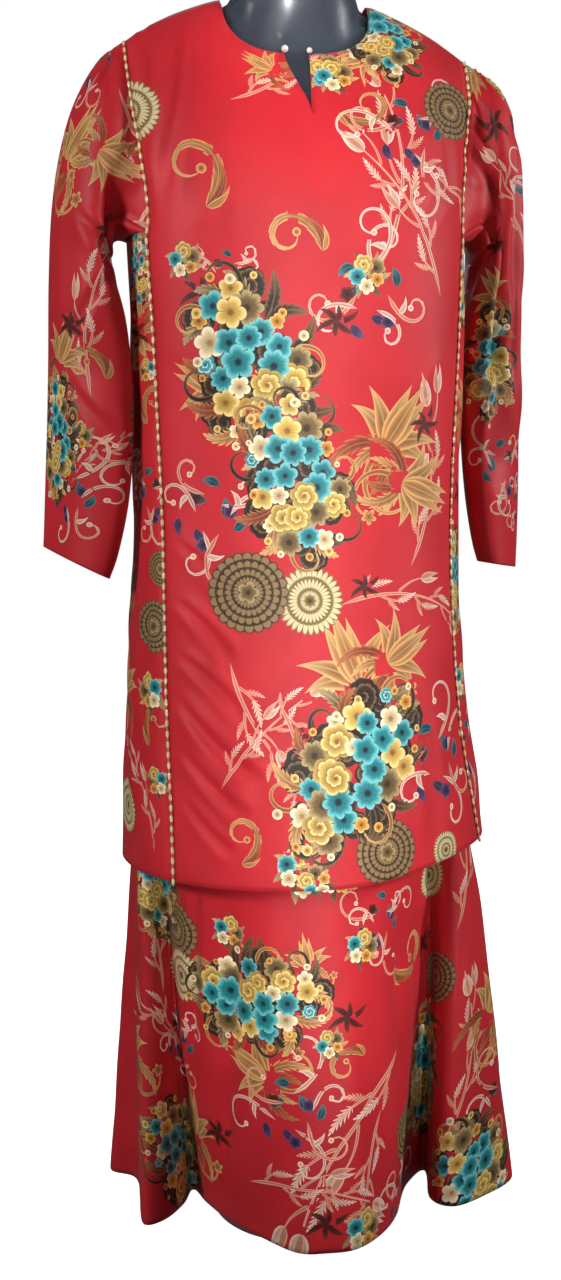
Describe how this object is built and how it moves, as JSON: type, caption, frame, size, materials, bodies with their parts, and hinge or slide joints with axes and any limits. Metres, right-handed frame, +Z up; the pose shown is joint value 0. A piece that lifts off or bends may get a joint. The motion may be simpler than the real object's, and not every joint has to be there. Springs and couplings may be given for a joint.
{
  "type": "baju kurung on a dress form",
  "caption": "Red floral baju kurung: long straight tunic with side gores, plain sleeves and beaded seam trim over a long flared skirt, on a limbless dress form.",
  "frame": {"origin": "middle of the base plate's underside, on the floor", "axes": "+Z up, -Y towards the front of the garment, +X towards the wearer's left"},
  "size_m": [0.577, 0.3968, 1.5],
  "materials": {
    "printed_cloth": "satin",
    "printed_cloth_skirt": "satin",
    "beaded_trim": "satin",
    "pearl": "gloss",
    "form_paint": "gloss",
    "base_steel": "brushed"
  },
  "bodies": {
    "root": {"front_panel": "printed_cloth", "back_panel": "printed_cloth", "side_gore_right": "printed_cloth", "side_gore_left": "printed_cloth", "gusset_right": "printed_cloth", "gusset_left": "printed_cloth", "sleeve_right": "printed_cloth", "sleeve_left": "printed_cloth", "trim_right": "beaded_trim", "trim_left": "beaded_trim", "pearl_right": "pearl", "pearl_left": "pearl", "skirt_front": "printed_cloth_skirt", "skirt_back": "printed_cloth_skirt", "skirt_waistband": "printed_cloth_skirt", "form_torso": "form_paint", "form_pole": "base_steel", "form_base": "base_steel"}
  },
  "joints": []
}
